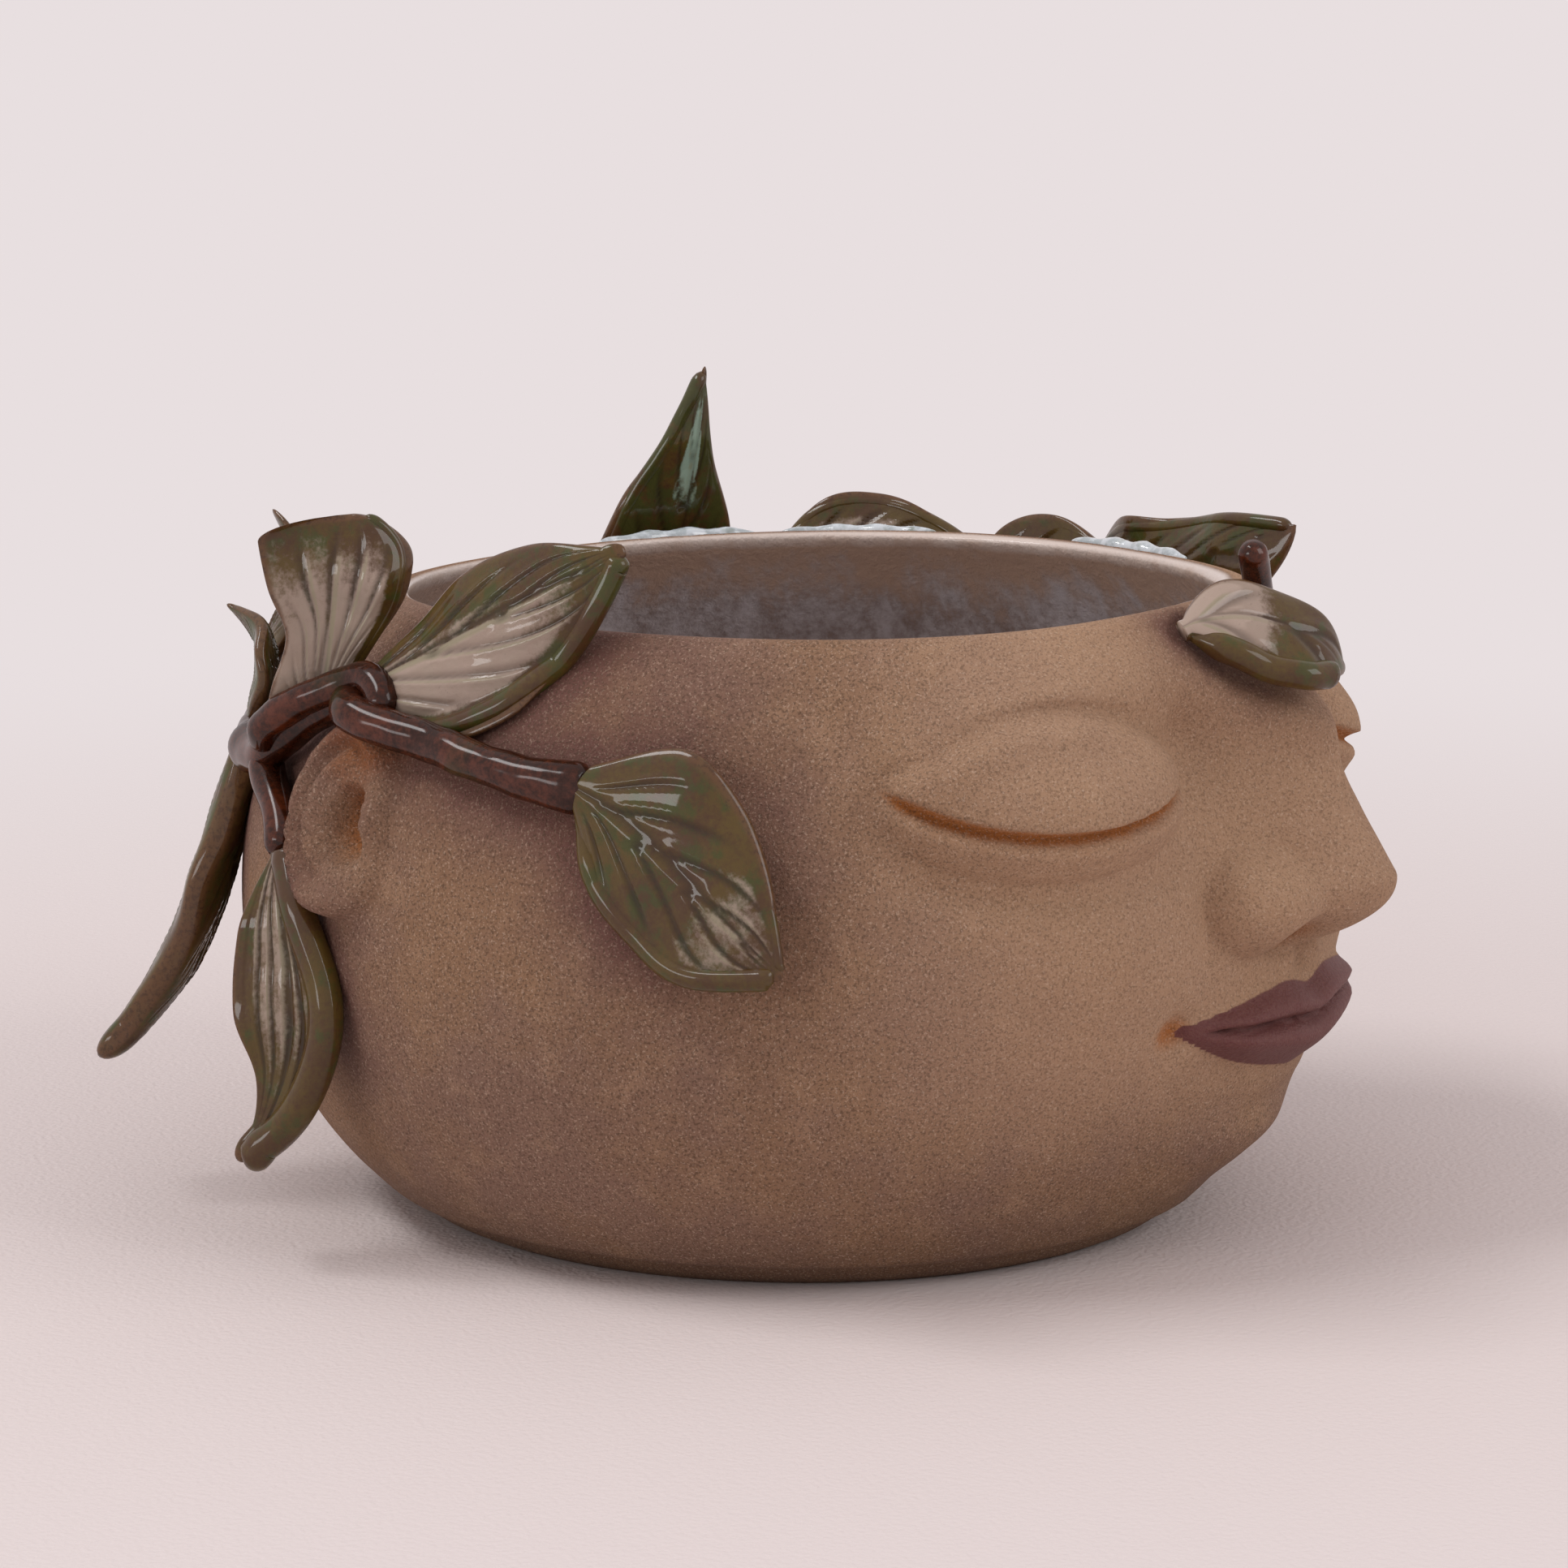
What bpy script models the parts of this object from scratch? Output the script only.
"""Face planter: a hand-built stoneware bowl shaped as a head, with a vine of glazed stems and leaves.

The bowl is one lofted wall whose outside carries the face and the ears as relief. Stems are rolled
coils laid on the wall and leaves are pressed blades; each is its own solid. Everything is placed in
bowl coordinates: an angle round the bowl (0 at the face, positive towards +X), a height and a
distance out from the wall. Units are metres, +Z is up, the face looks towards -Y and the origin is
the centre of the foot's underside.
"""

import math
from dataclasses import dataclass

import bmesh
import bpy
import numpy as np

# Bowl
FOOT_RADIUS = 0.0605
BELLY_RADIUS = 0.087
BELLY_HEIGHT = 0.050
RIM_RADIUS = 0.069
RIM_HEIGHT = 0.098
SIDE_SQUEEZE = 0.97
FOREHEAD_RISE = 0.003
BELLY_BACK = 0.0025
RIM_FORWARD = 0.004
WALL = 0.006
FLOOR = 0.008
FOOT_BAND = 0.004
FOOT_STEP = 0.0006
DRAIN_RADIUS = 0.0025
DRAIN_CIRCLE = 0.014
DRAIN_COUNT = 3

# Clearances between touching solids
GAP = 0.0003
SEAT = 0.0004
FACET_TURN = math.radians(1.3)
FACET_STEP = 0.0012
RIM_TURN = 2 * WALL

# Face, on the drawing-book thirds: brow to nose base and nose base to chin are equal,
# and five eye widths go round the front half of the belly
FACE_THIRD = 0.408 * RIM_HEIGHT
CHIN = 0.122 * RIM_HEIGHT
NOSE_BASE = CHIN + FACE_THIRD
BROW = NOSE_BASE + FACE_THIRD
MOUTH = NOSE_BASE - FACE_THIRD / 3
EYE_LINE = BROW - FACE_THIRD / 3
EYE_WIDTH = math.pi * BELLY_RADIUS / 5
EYE_BULGE = 0.0062
BROW_RIDGE = 0.0038
NOSE_REACH = 0.42 * FACE_THIRD
BRIDGE_REACH = 0.0052
NOSE_WING = 0.0165
MOUTH_HALF_WIDTH = 0.60 * EYE_WIDTH
UPPER_LIP = 0.0064
LOWER_LIP = 0.0080
LIP_REACH = 0.0044
CHEEK_REACH = 0.0042
CHIN_REACH = 0.0042

# Ears
EAR_ANGLE = math.radians(114)
EAR_HEIGHT = 0.715 * RIM_HEIGHT
EAR_LENGTH = 0.031
EAR_WIDTH = 0.0215
EAR_RELIEF = 0.0034

# Stems and leaves
STEM_RADIUS = 0.0030
STEM_THIN_RADIUS = 0.0023
STEM_SIDES = 8
STEM_STEP = 0.0075
CURVE_STEPS = 24
LEAF_THICKNESS = 0.0030
LEAF_RINGS = (0, 0.06, 0.14, 0.24, 0.36, 0.48, 0.60, 0.72, 0.83, 0.92, 0.97, 1)
PETIOLE_RADIUS = 0.0016
PLAIN = (0.0, 0.86, 0.97, 0.59, 0.0)
MIDDLE = (0.0, 0.82, 1.0, 0.69, 0.0)


def bump(distance, width):
    """Bell curve of height 1 at distance 0."""
    return np.exp(-(distance / width) ** 2)


def rise(value, start, end):
    """Smooth step from 0 at start to 1 at end."""
    share = np.clip((value - start) / (end - start), 0, 1)
    return share * share * (3 - 2 * share)


def wall_radius(height):
    """Outer radius of the bowl at a height, before the face relief."""
    below = np.clip(height / BELLY_HEIGHT, 0, 1)
    above = np.clip((height - BELLY_HEIGHT) / (RIM_HEIGHT - BELLY_HEIGHT), 0, 1)
    swell = (BELLY_RADIUS - FOOT_RADIUS) * (1 - (1 - below) ** 2) ** 0.78
    return FOOT_RADIUS + swell - (BELLY_RADIUS - RIM_RADIUS) * above ** 2.4


def axis_shift(height):
    """How far the wall's centre lies behind the foot's centre: the belly leans back, the rim forward."""
    share = np.clip(height / RIM_HEIGHT, 0, 1)
    return BELLY_BACK * np.sin(math.pi * share) - RIM_FORWARD * share ** 3


def rim_height(angle):
    """Height of the rim, which rises over the forehead and dips at the temples."""
    wrapped = (angle + math.pi) % (2 * math.pi) - math.pi
    return RIM_HEIGHT + FOREHEAD_RISE * bump(wrapped, 0.75) - 0.008 * RIM_HEIGHT * np.cos(2 * wrapped)


def bowl_point(angle, height, out):
    """Points in space from bowl coordinates, as an array with x, y, z in its last axis."""
    angle, height, out = np.broadcast_arrays(angle, height, out)
    radius = wall_radius(height) + out
    x = radius * np.sin(angle) * SIDE_SQUEEZE
    y = axis_shift(height) - radius * np.cos(angle)
    return np.stack([x, y, height], axis=-1)


def bowl_coordinates(points):
    """Angle, height and distance out of points in space."""
    x = points[..., 0] / SIDE_SQUEEZE
    y = points[..., 1] - axis_shift(points[..., 2])
    return np.arctan2(x, -y), points[..., 2], np.hypot(x, y) - wall_radius(points[..., 2])


def brow_relief(across, height):
    """Brow ridge, arched over each eye, and the hollows beside the nose and at the temple."""
    arch = BROW - 0.0005 - 5.0 * (across - 0.75 * EYE_WIDTH) ** 2
    ridge = BROW_RIDGE * bump(height - arch, 0.0062) * (1 - rise(across, 1.20 * EYE_WIDTH, 1.75 * EYE_WIDTH))
    corner = 0.0050 * bump(across - 0.46 * EYE_WIDTH, 0.0095) * bump(height - EYE_LINE - 0.003, 0.010)
    temple = 0.0014 * bump(across - 1.72 * EYE_WIDTH, 0.016) * bump(height - EYE_LINE, 0.016)
    return ridge - corner - temple


def eye_relief(across, height):
    """Closed eye: the ball under its lids, the lash line and the crease above the lid."""
    sideways = (across - EYE_WIDTH) / (EYE_WIDTH / 2)
    spread = np.hypot(sideways / 1.06, (height - EYE_LINE + 0.0012) / 0.0122)
    ball = np.clip(1 - spread ** 2, 0, 1) ** 0.75
    inside = 1 - rise(np.abs(sideways), 0.86, 1.10)
    lash = EYE_LINE - 0.0060 + 0.0062 * sideways ** 2
    step = 0.0015 * rise(height - lash, -0.0004, 0.0010) * (1 - rise(height - lash, 0.003, 0.012))
    crease = EYE_LINE + 0.0100 - 0.0080 * sideways ** 2
    folds = step - 0.0013 * bump(height - lash + 0.0008, 0.0012) - 0.0015 * bump(height - crease, 0.0016)
    return EYE_BULGE * ball + folds * inside


def nose_relief(across, height):
    """Straight nose with rounded tip, wings and nostrils."""
    tip = NOSE_BASE + 0.0082
    along = np.clip((BROW - 0.001 - height) / (BROW - 0.001 - tip), 0, 1)
    ridge = BRIDGE_REACH + (NOSE_REACH - BRIDGE_REACH) * along ** 1.35
    under = np.clip((tip - height) / 0.0112, 0, 1)
    reach = ridge * (1 - under ** 2) ** 0.8 * (1 - rise(height, BROW - 0.004, BROW + 0.010))
    half_width = 0.0082 + 0.0042 * along
    bridge = reach * np.exp(-np.abs(across / half_width) ** 2.2)
    wing_spot = ((across - NOSE_WING) / 0.0098) ** 2 + ((height - NOSE_BASE - 0.0058) / 0.0086) ** 2
    wing = 0.0086 * np.clip(1 - wing_spot, 0, 1) ** 0.80
    nostril = 0.0070 * bump(across - 0.0100, 0.0036) * bump(height - NOSE_BASE + 0.0002, 0.0021)
    crease = 0.0016 * bump(across - NOSE_WING - 0.0102, 0.0030) * bump(height - NOSE_BASE - 0.005, 0.010)
    return np.maximum(bridge, 0.50 * bridge + wing) - nostril - crease


def mouth_relief(across, height):
    """Full closed lips on the rounded form that carries them, with the groove under the nose."""
    share = np.clip(across / MOUTH_HALF_WIDTH, 0, 1)
    line = MOUTH + 0.0016 * share ** 2
    bow = 1 - share ** 1.7 - 0.16 * bump(across, 0.0045)
    upper = np.clip((height - line) / (UPPER_LIP * np.maximum(bow, 0.02)), 0, 1)
    lower = np.clip((line - height) / (LOWER_LIP * np.maximum(1 - share ** 2.2, 0.02)), 0, 1)
    fade = 1 - rise(share, 0.45, 1.0)
    lips = 0.80 * LIP_REACH * np.sin(math.pi * upper ** 0.6) * (height >= line)
    lips = lips + LIP_REACH * np.sin(math.pi * lower ** 0.75) * (height < line)
    carrier = 0.0034 * bump(across, 0.030) * bump(height - MOUTH, 0.016)
    groove = 0.0011 * bump(across, 0.0030) * rise(height, MOUTH + 0.006, MOUTH + 0.008)
    groove = groove * (1 - rise(height, NOSE_BASE - 0.003, NOSE_BASE))
    corner = 0.0014 * bump(across - MOUTH_HALF_WIDTH - 0.001, 0.0030) * bump(height - line, 0.0035)
    return carrier + lips * fade - groove - corner


def cheek_and_chin_relief(across, height):
    """Full cheeks, the chin and the groove above it."""
    cheek = CHEEK_REACH * bump(across - 0.90 * EYE_WIDTH, 0.025) * bump(height - NOSE_BASE - 0.001, 0.016)
    chin = CHIN_REACH * bump(across, 0.020) * bump(height - CHIN - 0.008, 0.0085)
    groove = 0.0022 * bump(across, 0.016) * bump(height - (MOUTH + CHIN) / 2 + 0.002, 0.0032)
    return cheek + chin - groove


def ear_relief(angle, height):
    """Low ear against the side of the head: rim, inner fold, hollow, front flap and lobe."""
    up = (height - EAR_HEIGHT) / (EAR_LENGTH / 2)
    back = (np.abs(angle) - EAR_ANGLE) * BELLY_RADIUS / (EAR_WIDTH / 2) - 0.22 * up
    spread = np.hypot(back, up)
    body = EAR_RELIEF * (1 - rise(spread, 0.86, 1.08)) * (0.30 + 0.70 * rise(back, -1.0, 0.1))
    rim = 0.0024 * bump(spread - 0.84, 0.18) * rise(back + 0.5 * up, -0.80, 0.0)
    fold = 0.0016 * bump(spread - 0.50, 0.14) * rise(back + 0.3 * up, -0.1, 0.3)
    flap = 0.0024 * bump(np.hypot((back + 0.66) / 0.26, (up - 0.02) / 0.26), 1)
    lobe = 0.0012 * bump(np.hypot((back + 0.10) / 0.40, (up + 0.72) / 0.26), 1)
    hollow = 0.0066 * bump(np.hypot((back + 0.20) / 0.38, (up + 0.08) / 0.36), 1)
    return body + rim + fold + flap + lobe - hollow


def relief(angle, height):
    """How far the outside stands off the plain wall, for the face and both ears."""
    wrapped = (angle + math.pi) % (2 * math.pi) - math.pi
    across = np.abs(wrapped) * BELLY_RADIUS
    face = brow_relief(across, height) + eye_relief(across, height) + nose_relief(across, height)
    face = face + mouth_relief(across, height) + cheek_and_chin_relief(across, height)
    front = 1 - rise(np.abs(wrapped), math.radians(80), math.radians(95))
    low = rise(height, 0.3 * CHIN, 1.1 * CHIN)
    return (face * front + ear_relief(wrapped, height)) * low


def cover(angle, height):
    """Greatest relief within a facet's reach of a spot, which is what a piece laid there has to clear."""
    turns = (-FACET_TURN, 0, FACET_TURN)
    steps = (-FACET_STEP, 0, FACET_STEP)
    return np.max([relief(angle + turn, height + step) for turn in turns for step in steps], axis=0)


def settle(points, spare=0.0):
    """Points pushed clear of the bowl, out of its wall or up off its rim, whichever is nearer.

    Close to the rim they are pushed away from a spot RIM_TURN inside the wall and RIM_TURN below
    the rim, so that neighbours stay neighbours round its edge. A point that would dip into the
    mouth is raised to the rim. Spare is what each point keeps beyond the clearance, so that a
    piece pushed out stays solid.
    """
    angle, height, out = bowl_coordinates(points)
    deep = cover(angle, height) + SEAT + spare - out
    low = rim_height(angle) + SEAT + spare - height
    inside = (deep > 0) & (low > 0)
    stretch = RIM_TURN / np.maximum(RIM_TURN - np.minimum(deep, low), 0.1 * RIM_TURN)
    deep_after = np.where(deep < RIM_TURN, RIM_TURN - stretch * (RIM_TURN - deep), deep)
    low_after = np.where(low < RIM_TURN, RIM_TURN - stretch * (RIM_TURN - low), low)
    out = out + inside * (deep - np.where(deep <= low, 0, deep_after))
    height = height + inside * (low - np.where(low < deep, 0, low_after))
    return bowl_point(angle, height, out)


def smooth_curve(points):
    """Closely spaced points on a smooth curve through the given points, CURVE_STEPS to a span."""
    points = np.asarray(points, dtype=float)
    before = 2 * points[:1] - points[1:2]
    after = 2 * points[-1:] - points[-2:-1]
    padded = np.vstack([before, points, after])
    share = np.linspace(0, 1, CURVE_STEPS + 1)[:-1, None]
    dense = []
    for p0, p1, p2, p3 in zip(padded, padded[1:], padded[2:], padded[3:]):
        bend = p2 - p0 + (2 * p0 - 5 * p1 + 4 * p2 - p3) * share + (3 * p1 - p0 - 3 * p2 + p3) * share ** 2
        dense.append(p1 + 0.5 * share * bend)
    return np.vstack(dense + [points[-1:]])


def travel(points):
    """Distance along a line of points, at each of them."""
    return np.concatenate([[0], np.cumsum(np.linalg.norm(np.diff(points, axis=0), axis=1))])


def sample(values, places, wanted):
    """Rows of values, known at rising places, read at the wanted places."""
    return np.stack([np.interp(wanted, places, values[:, k]) for k in range(values.shape[1])], axis=-1)


def unit(vectors):
    """Vectors scaled to length 1."""
    return vectors / np.linalg.norm(vectors, axis=-1, keepdims=True)


def wall_normals(points):
    """Directions straight out of the bowl's side at points near it."""
    angle, height, out = bowl_coordinates(points)
    return unit(bowl_point(angle, height, out + 0.001) - points)


def new_object(name, mesh, material):
    """Scene object for a finished mesh."""
    mesh.materials.append(material)
    created = bpy.data.objects.new(name, mesh)
    bpy.context.scene.collection.objects.link(created)
    return created


def loft(name, rings, material):
    """Closed solid through rings of equal point counts, with a flat cap on each end."""
    bm = bmesh.new()
    loops = [[bm.verts.new(point) for point in ring] for ring in rings]
    for lower, upper in zip(loops, loops[1:]):
        for k in range(len(lower)):
            following = (k + 1) % len(lower)
            bm.faces.new([lower[k], lower[following], upper[following]])
            bm.faces.new([lower[k], upper[following], upper[k]])
    bm.faces.new(loops[0])
    bm.faces.new(loops[-1])
    bmesh.ops.recalc_face_normals(bm, faces=bm.faces)
    mesh = bpy.data.meshes.new(name)
    bm.to_mesh(mesh)
    bm.free()
    mesh.shade_smooth()
    mesh.set_sharp_from_angle(angle=math.radians(40))
    return new_object(name, mesh, material)


def as_cutter(tool):
    """Marks an object as a cutting tool that isn't part of the model."""
    tool.hide_render = True
    tool.display_type = "WIRE"
    return tool


def cut(target, tools):
    """Cuts each tool out of the target."""
    for tool in tools:
        modifier = target.modifiers.new("clearance", "BOOLEAN")
        modifier.operation = "DIFFERENCE"
        modifier.solver = "EXACT"
        modifier.object = tool


def finish(name, colour, roughness):
    """Principled material with one plain colour."""
    material = bpy.data.materials.new(name)
    material.use_nodes = True
    shader = material.node_tree.nodes["Principled BSDF"]
    shader.inputs["Base Color"].default_value = (*colour, 1)
    shader.inputs["Roughness"].default_value = roughness
    shader.inputs["Metallic"].default_value = 0
    return material


def column_angles():
    """Angles of the bowl's columns, closest at the nose, mouth, eyes and ears."""
    spans = [(0, 24, 13), (24, 60, 12), (60, 102, 5), (102, 126, 12), (126, 180, 4)]
    half = [start + (end - start) * k / count for start, end, count in spans for k in range(count)]
    degrees = half + [180] + [-angle for angle in reversed(half[1:])]
    return np.radians(degrees)


def outer_rows():
    """Heights of the bowl's rows as shares of the rim height, closest from chin to brow."""
    foot = [0.012, 0.95 * FOOT_BAND / RIM_HEIGHT, 1.15 * FOOT_BAND / RIM_HEIGHT]
    spans = [(0.065, 0.26, 7), (0.26, 0.62, 18), (0.62, 0.70, 3), (0.70, 0.83, 7), (0.83, 0.955, 4)]
    return foot + [start + (end - start) * k / count for start, end, count in spans for k in range(count)]


def bowl_rings():
    """Rings of the bowl from the underside up the outside, over the rim and down the inside."""
    angles = column_angles()
    lift = rim_height(angles) - RIM_HEIGHT
    rings = [bowl_point(angles, 0.0, -0.0012)]
    for share in outer_rows():
        height = share * RIM_HEIGHT + lift * rise(share, 0.6, 0.97)
        inset = -FOOT_STEP if share * RIM_HEIGHT < FOOT_BAND else 0.0
        rings.append(bowl_point(angles, height, relief(angles, height) + inset))
    rim_round = 0.45 * WALL
    for turn in np.radians([10, 50, 90, 130, 170]):
        out = -WALL / 2 * (1 - math.cos(turn))
        height = RIM_HEIGHT + lift - rim_round * (1 - math.sin(turn))
        brim = relief(angles, height) * (1 + math.cos(turn)) / 2
        rings.append(bowl_point(angles, height, out + brim))
    for share in (0.88, 0.66, 0.44, 0.22):
        height = FLOOR + (RIM_HEIGHT - FLOOR) * share + lift * rise(share, 0.6, 0.97)
        rings.append(bowl_point(angles, height, -WALL))
    for up, inset in ((0.007, 0.0015), (0.0025, 0.0045), (0.0, 0.010)):
        rings.append(bowl_point(angles, FLOOR, wall_radius(FLOOR + up) - wall_radius(FLOOR) - WALL - inset)
                     + np.array([0, 0, up]))
    return rings


def make_bowl(clay):
    """The head-shaped bowl with its drain holes."""
    bowl = loft("bowl", bowl_rings(), clay)
    drills = []
    for k in range(DRAIN_COUNT):
        turn = 2 * math.pi * (k + 0.5) / DRAIN_COUNT
        bpy.ops.mesh.primitive_cylinder_add(
            vertices=12, radius=DRAIN_RADIUS, depth=4 * FLOOR,
            location=(DRAIN_CIRCLE * math.sin(turn), -DRAIN_CIRCLE * math.cos(turn), FLOOR / 2))
        drill = bpy.context.active_object
        drill.name = f"drain_drill_{k + 1}"
        drills.append(as_cutter(drill))
    cut(bowl, drills)
    return bowl


@dataclass
class Stem:
    """A rolled coil laid on the wall, along stops of (degrees, share of rim height, extra lift).

    Where a vine is made of several coils, each has the whole vine's stops and the numbers of its
    own first and last one, so that neighbours meet square end to square end.
    """

    name: str
    stops: list
    span: tuple = None
    radii: tuple = (STEM_RADIUS, STEM_RADIUS)
    round_end: bool = False

    def centre_line(self, step):
        """Points along the coil's middle and the direction at each."""
        angle, share, lift = np.array(self.stops, dtype=float).T
        angle = np.radians(angle)
        height = share * RIM_HEIGHT
        out = cover(angle, height) + lift + SEAT + 0.9 * self.radii[0]
        curve = smooth_curve(bowl_point(angle, height, out))
        places = travel(curve)
        ahead = unit(np.gradient(curve, axis=0))
        first, last = self.span or (0, len(self.stops) - 1)
        start = places[first * CURVE_STEPS] + (GAP / 2 if first > 0 else 0)
        end = places[last * CURVE_STEPS] - (GAP / 2 if last < len(self.stops) - 1 else 0)
        wanted = np.linspace(start, end, max(3, round((end - start) / step) + 1))
        return sample(curve, places, wanted), unit(sample(ahead, places, wanted))

    def rings(self, grow=0.0):
        """Rings along the coil, pressed flat where they meet the wall, then grown all round."""
        route, ahead = self.centre_line(STEM_STEP)
        across = unit(np.cross(wall_normals(route), ahead))
        upward = np.cross(ahead, across)
        radius = np.linspace(self.radii[0], self.radii[1], len(route))
        if self.round_end:
            radius[-1] *= 0.45
        turns = np.arange(STEM_SIDES) * 2 * math.pi / STEM_SIDES
        circle = np.cos(turns)[None, :, None] * across[:, None] + np.sin(turns)[None, :, None] * upward[:, None]
        rings = settle(route[:, None] + circle * radius[:, None, None])
        rings += circle * grow
        rings[0] -= ahead[0] * grow
        rings[-1] += ahead[-1] * grow
        return rings

    def spot(self, share):
        """Bowl coordinates of the coil's middle at a share of its length."""
        route, _ = self.centre_line(STEM_STEP)
        places = travel(route)
        point = sample(route, places, np.array([share * places[-1]]))[0]
        return tuple(float(value) for value in bowl_coordinates(point))

    def make(self, material):
        """The coil as a solid."""
        return loft(self.name, self.rings(), material)

    def make_cutter(self):
        """The coil grown by the clearance, to seat what is joined to it."""
        return as_cutter(loft(self.name + "_clearance", self.rings(GAP), bpy.data.materials["stem glaze"]))


def profile(stops, share):
    """Smooth values through equally spaced stops, read at shares of their whole run."""
    dense = smooth_curve(np.array(stops)[:, None])[:, 0]
    return np.interp(share, np.linspace(0, 1, len(dense)), dense)


@dataclass
class Leaf:
    """A pressed blade that grows along the wall from its root.

    The root is (degrees, share of rim height), or (stem, share of its length) on a stem's middle.
    The heading is in degrees on the wall, 0 towards +angle and 90 upwards, and turns by the bend
    along the length. Lifts are the distances of the midrib from the wall at the root, one third,
    two thirds and the tip; a stem sets the first. Pairs are for the left and right edge, seen from
    outside and looking towards the tip. Shapes are shares of the half width at equal steps along
    the blade. A roll lifts the left edge off the wall, a cup bends the whole side, a curl its
    border, and a hem thickens the border. Slants sweep the sides back at the root and the tip, and
    blunts are the shares of the length that are rounded off.
    """

    name: str
    root: tuple
    heading: float
    length: float
    half_widths: tuple
    lifts: tuple
    bend: float = 0.0
    slants: tuple = (0.0, 0.0)
    shapes: tuple = (PLAIN, PLAIN)
    rolls: tuple = (0.0, 0.0)
    cups: tuple = (0.0, 0.0)
    curls: tuple = (0.0, 0.0)
    hems: tuple = (0.0, 0.0)
    tip_half_width: float = 0.0007
    thickness: float = LEAF_THICKNESS
    tip_thinning: float = 0.6
    blunts: tuple = (0.10, 0.10)

    def spine(self, shares):
        """Points along the midrib at shares of its length."""
        if isinstance(self.root[0], Stem):
            angle, height, first_lift = self.root[0].spot(self.root[1])
        else:
            angle, height, first_lift = math.radians(self.root[0]), self.root[1] * RIM_HEIGHT, self.lifts[0]
        trail = [(angle, height)]
        step = self.length / CURVE_STEPS
        for k in range(CURVE_STEPS):
            direction = math.radians(self.heading + self.bend * (k + 0.5) / CURVE_STEPS)
            slope = (wall_radius(height + 0.0005) - wall_radius(height - 0.0005)) / 0.001
            angle += math.cos(direction) * step / wall_radius(height)
            height += math.sin(direction) * step / math.hypot(1, slope)
            trail.append((angle, height))
        angles, heights = np.array(trail[::CURVE_STEPS // 3]).T
        knots = bowl_point(angles, heights, np.array([first_lift, *self.lifts[1:]]))
        weights = [np.prod([(3 * shares - j) / (i - j) for j in range(4) if j != i], axis=0) for i in range(4)]
        return np.stack(weights, axis=-1) @ knots

    def rings(self):
        """Cross-sections from root to tip, each a lens with a pressed midrib and cupped edges."""
        share = np.array(LEAF_RINGS)
        route = self.spine(share)
        ahead = unit(np.gradient(route, share, axis=0))
        leftward = unit(np.cross(wall_normals(route), ahead))
        outward = np.cross(ahead, leftward)
        roll = np.radians(self.rolls[0] + (self.rolls[1] - self.rolls[0]) * share)[:, None]
        side = np.cos(roll) * leftward + np.sin(roll) * outward
        face = np.cos(roll) * outward - np.sin(roll) * leftward
        upper = [(1, 0.10), (0.62, 0.42), (0.18, 0.50), (0, 0.28), (-0.18, 0.50), (-0.62, 0.42), (-1, 0.10)]
        lower = [(-0.80, -0.42), (0, -0.50), (0.80, -0.42)]
        rounding = np.sqrt(1 - 0.85 * np.clip((share - 0.9) / 0.1, 0, 1) ** 2)
        widths = [profile(shape, share) * np.sqrt(1 - 0.85 * np.clip((share - 1 + blunt) / blunt, 0, 1) ** 2)
                  for shape, blunt in zip(self.shapes, self.blunts)]
        stalk = PETIOLE_RADIUS * (1 - rise(share, 0.0, 0.25)) + self.tip_half_width * rise(share, 0.6, 1.0)
        thickness = self.thickness * (1 - self.tip_thinning * rise(share, 0.7, 1.0)) * rounding
        rings = []
        spare = []
        for across, through in upper + lower:
            edge = 0 if across > 0 else 1
            border = max(0, (abs(across) - 0.5) / 0.5)
            hem = self.hems[edge] * min(1, border / 0.6) * rounding * rise(share, -0.12, 0.22)
            local = through * thickness + (hem if through > 0.2 else -hem if through < 0 else 0)
            bent = self.cups[edge] * across ** 2 + self.curls[edge] * border ** 2
            reach = across * np.maximum(self.half_widths[edge] * widths[edge], stalk * rounding)
            ring = route + side * reach[:, None] + face * (local + bent * widths[edge])[:, None]
            slant = self.slants[0] + (self.slants[1] - self.slants[0]) * share
            rings.append(ring - ahead * (slant * reach)[:, None])
            spare.append(local + 0.5 * thickness + hem)
        return settle(np.stack(rings, axis=1), np.stack(spare, axis=1))

    def make(self, material):
        """The blade as a solid."""
        return loft(self.name, self.rings(), material)


# The vine runs from the left temple over the left ear, round the back of the head, over the right
# ear and on to the right cheek
VINE = [
    (68.5, 0.795, 0), (80, 0.806, 0), (91, 0.822, 0), (101, 0.838, 0), (111, 0.862, 0), (118.5, 0.878, 0.0008),
    (123.5, 0.860, 0.0018), (127.5, 0.815, 0.0022), (133, 0.778, 0.001), (141, 0.768, 0),
    (160, 0.795, 0), (180, 0.785, 0), (200, 0.770, 0), (219, 0.757, 0),
    (227, 0.768, 0.001), (232.5, 0.806, 0.0022), (236.5, 0.862, 0.0018), (240.5, 0.888, 0.0008),
    (246.3, 0.872, 0), (254.7, 0.845, 0), (261.9, 0.829, 0), (269.4, 0.812, 0), (276.4, 0.799, 0)]
STEM_TEMPLE_LEFT = Stem("stem_temple_left", VINE, span=(0, 5))
STEM_EAR_LEFT = Stem("stem_ear_left", VINE, span=(5, 9))
STEM_BACK = Stem("stem_back", VINE, span=(9, 13))
STEM_EAR_RIGHT = Stem("stem_ear_right", VINE, span=(13, 17))
STEM_TEMPLE_RIGHT = Stem("stem_temple_right", VINE, span=(17, 22))
STEM_HANGING_RIGHT = Stem(
    "stem_hanging_right",
    [(-133.0, 0.768, 0.001), (-130.0, 0.740, 0.0005), (-125.0, 0.695, 0), (-121.5, 0.635, 0)],
    radii=(STEM_THIN_RADIUS, STEM_THIN_RADIUS))
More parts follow.
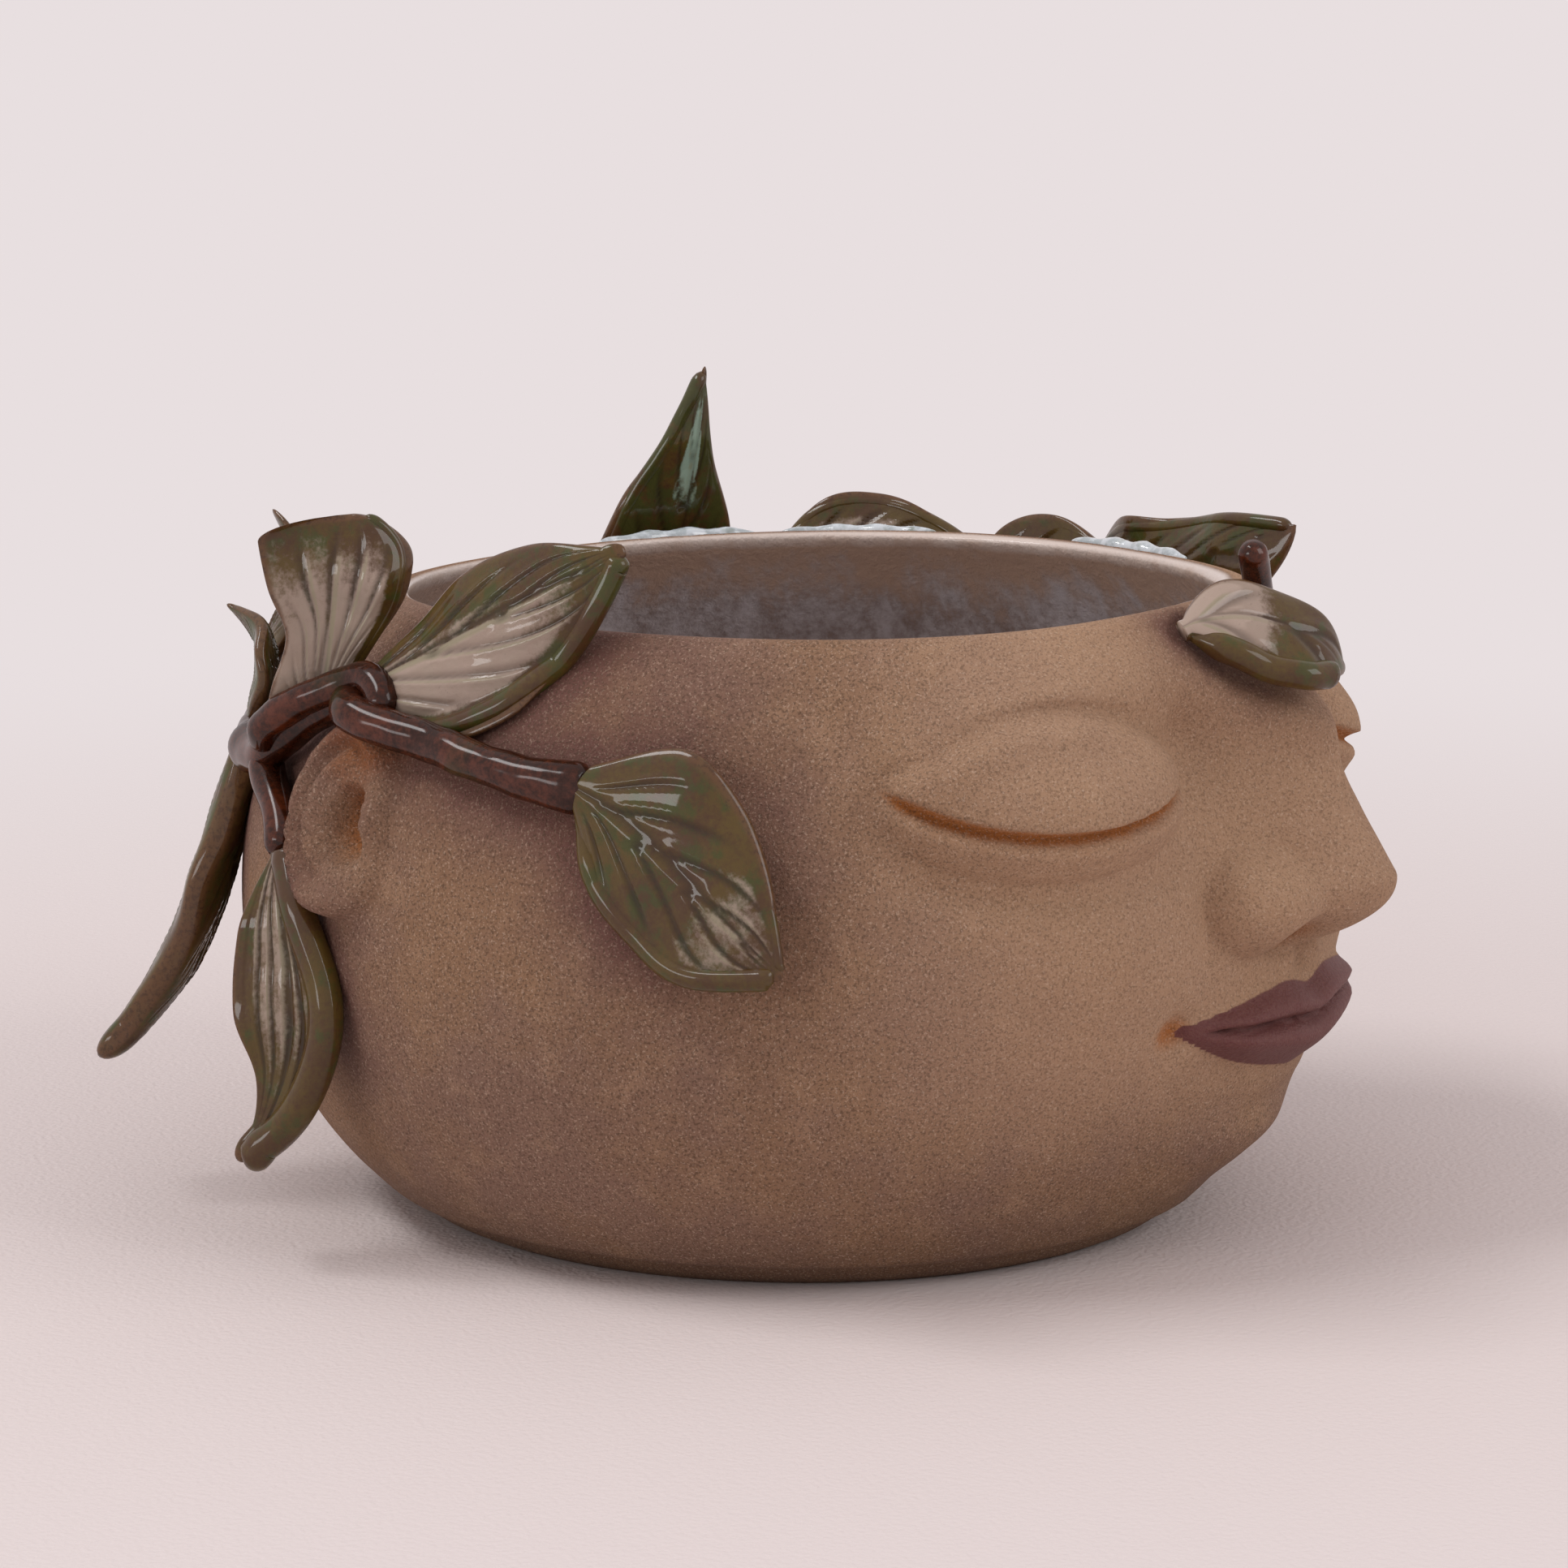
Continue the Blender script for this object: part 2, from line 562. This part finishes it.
STEM_FOREHEAD = Stem(
    "stem_forehead",
    [(9, 0.965, 0), (7, 1.000, 0.0008), (4.0, 1.045, 0.0022), (1.0, 1.090, 0.0035)],
    radii=(STEM_THIN_RADIUS, STEM_THIN_RADIUS), round_end=True)

# Leaves
LEAF_FAN_RIGHT = Leaf(
    "leaf_fan_right", root=(STEM_EAR_RIGHT, 0.80), heading=90, length=0.0322, slants=(0.80, 0.30),
    half_widths=(0.0130, 0.0114), lifts=(0.0060, 0.0109, 0.0144, 0.0125), rolls=(50, 62),
    shapes=((0.77, 0.62, 0.53, 0.78, 1.0), (0.30, 0.80, 1.0, 0.94, 0.84)), blunts=(0.10, 0.32),
    cups=(0.002, 0.0020), curls=(0.001, -0.0045), hems=(0.0, 0.0007))
LEAF_RIM_RIGHT = Leaf(
    "leaf_rim_right", root=(STEM_TEMPLE_RIGHT, 0.05), heading=40, bend=-8, length=0.0475,
    half_widths=(0.0100, 0.0128), lifts=(0.0040, 0.0060, 0.0050, 0.0010), rolls=(-18, 0),
    shapes=(MIDDLE, MIDDLE), cups=(-0.001, -0.002), curls=(0.0, -0.002), hems=(0.0, 0.0010),
    tip_half_width=0.0020, tip_thinning=0.2)
LEAF_CHEEK_RIGHT = Leaf(
    "leaf_cheek_right", root=(STEM_TEMPLE_RIGHT, 0.98), heading=-33, bend=-12, length=0.0392,
    half_widths=(0.0150, 0.0122), lifts=(0.0028, 0.0035, 0.0040, 0.0040), cups=(-0.0008, -0.0008),
    tip_half_width=0.0012)
LEAF_HANGING_RIGHT = Leaf(
    "leaf_hanging_right", root=(STEM_HANGING_RIGHT, 0.95), heading=-60, bend=-52, length=0.050,
    half_widths=(0.0088, 0.0090), lifts=(0.0030, 0.0042, 0.0080, 0.0200), rolls=(-35, -35),
    shapes=((0.1, 0.55, 1.0, 0.62, 0.0), (0.1, 0.80, 0.95, 0.40, 0.0)), cups=(0.002, 0.002),
    hems=(0.0015, 0.0), tip_half_width=0.0020, tip_thinning=0.2)
LEAF_HANGING_BACK = Leaf(
    "leaf_hanging_back", root=(STEM_BACK, 0.90), heading=-88, length=0.053, half_widths=(0.0085, 0.0085),
    lifts=(0.0035, 0.0034, 0.0105, 0.0300), rolls=(10, 10), shapes=(MIDDLE, MIDDLE), tip_half_width=0.0026,
    thickness=0.0060, tip_thinning=0.2)
LEAF_UPRIGHT_BACK = Leaf(
    "leaf_upright_back", root=(STEM_BACK, 0.745), heading=90, length=0.037, half_widths=(0.0065, 0.0065),
    lifts=(0.0040, 0.0090, 0.0140, 0.0195), rolls=(20, 20), shapes=(MIDDLE, MIDDLE))
LEAF_CURLED_BACK = Leaf(
    "leaf_curled_back", root=(STEM_BACK, 0.885), heading=96, length=0.024, half_widths=(0.0065, 0.0065),
    lifts=(0.0050, 0.0055, 0.0090, 0.0180), shapes=(MIDDLE, MIDDLE))
LEAF_RIM_BACK = Leaf(
    "leaf_rim_back", root=(-143.0, 0.905), heading=168, length=0.030, half_widths=(0.0055, 0.0055),
    lifts=(0.0028, 0.0028, 0.0028, 0.0020), rolls=(-12, -12))
LEAF_RIM_POINTED = Leaf(
    "leaf_rim_pointed", root=(STEM_EAR_LEFT, 0.80), heading=89, bend=12, length=0.0555,
    half_widths=(0.0128, 0.0120), lifts=(0.0030, 0.0032, 0.0030, 0.0020), cups=(0.001, 0.001),
    shapes=((0.0, 0.985, 0.79, 0.29, 0.0), (0.0, 0.92, 0.90, 0.44, 0.0)), hems=(0.0, 0.0007))
LEAF_RIM_LONG = Leaf(
    "leaf_rim_long", root=(122.5, 0.935), heading=172, bend=12, length=0.0375, half_widths=(0.0050, 0.0112),
    lifts=(0.0028, 0.0035, 0.0038, 0.0030), rolls=(-20, -20), cups=(-0.0008, -0.0008), hems=(0.0, 0.0006))
LEAF_RIM_SHORT = Leaf(
    "leaf_rim_short", root=(96.5, 0.900), heading=160, bend=34, length=0.033, half_widths=(0.0060, 0.0105),
    lifts=(0.0028, 0.0032, 0.0032, 0.0030), rolls=(-15, -15), cups=(-0.0008, -0.0008), hems=(0.0, 0.0005))
LEAF_TEMPLE_LEFT = Leaf(
    "leaf_temple_left", root=(STEM_TEMPLE_LEFT, 0.29), heading=137, bend=16, length=0.048,
    half_widths=(0.0095, 0.0135), lifts=(0.0040, 0.0085, 0.0125, 0.0195), rolls=(-10, -10), cups=(0.002, 0.0),
    shapes=((0.0, 0.72, 0.98, 0.82, 0.0), (0.2, 1.0, 0.78, 0.45, 0.0)), hems=(0.0, 0.0007))
LEAF_CHEEK_LEFT = Leaf(
    "leaf_cheek_left", root=(STEM_TEMPLE_LEFT, 0.03), heading=213, bend=12, length=0.041,
    half_widths=(0.0138, 0.0150), lifts=(0.0028, 0.0035, 0.0040, 0.0035), cups=(-0.0008, -0.0008),
    tip_half_width=0.0012)
LEAF_FOREHEAD = Leaf(
    "leaf_forehead", root=(-12.5, 1.010), heading=5, bend=-70, length=0.019,
    half_widths=(0.0065, 0.0080), lifts=(0.0022, 0.0075, 0.0130, 0.0145),
    shapes=(MIDDLE, (0.0, 0.66, 0.95, 0.92, 0.0)), hems=(0.0, 0.0014), tip_half_width=0.0030)

STEMS = [STEM_TEMPLE_LEFT, STEM_EAR_LEFT, STEM_BACK, STEM_EAR_RIGHT, STEM_TEMPLE_RIGHT, STEM_FOREHEAD]
LEAVES = [
    LEAF_FAN_RIGHT, LEAF_RIM_RIGHT, LEAF_CHEEK_RIGHT, LEAF_HANGING_RIGHT, LEAF_HANGING_BACK, LEAF_UPRIGHT_BACK,
    LEAF_CURLED_BACK, LEAF_RIM_BACK, LEAF_RIM_POINTED, LEAF_RIM_LONG, LEAF_RIM_SHORT, LEAF_TEMPLE_LEFT,
    LEAF_CHEEK_LEFT, LEAF_FOREHEAD]


def main():
    """Builds the planter."""
    for existing in list(bpy.data.objects):
        bpy.data.objects.remove(existing, do_unlink=True)
    clay = finish("bare clay", (0.28, 0.16, 0.11), 0.85)
    stem_glaze = finish("stem glaze", (0.06, 0.03, 0.02), 0.20)
    leaf_glaze = finish("leaf glaze", (0.13, 0.12, 0.04), 0.20)
    make_bowl(clay)
    for stem in STEMS:
        stem.make(stem_glaze)
    cut(STEM_HANGING_RIGHT.make(stem_glaze), [STEM_EAR_RIGHT.make_cutter()])
    for leaf in LEAVES:
        blade = leaf.make(leaf_glaze)
        if isinstance(leaf.root[0], Stem):
            cut(blade, [leaf.root[0].make_cutter()])


main()
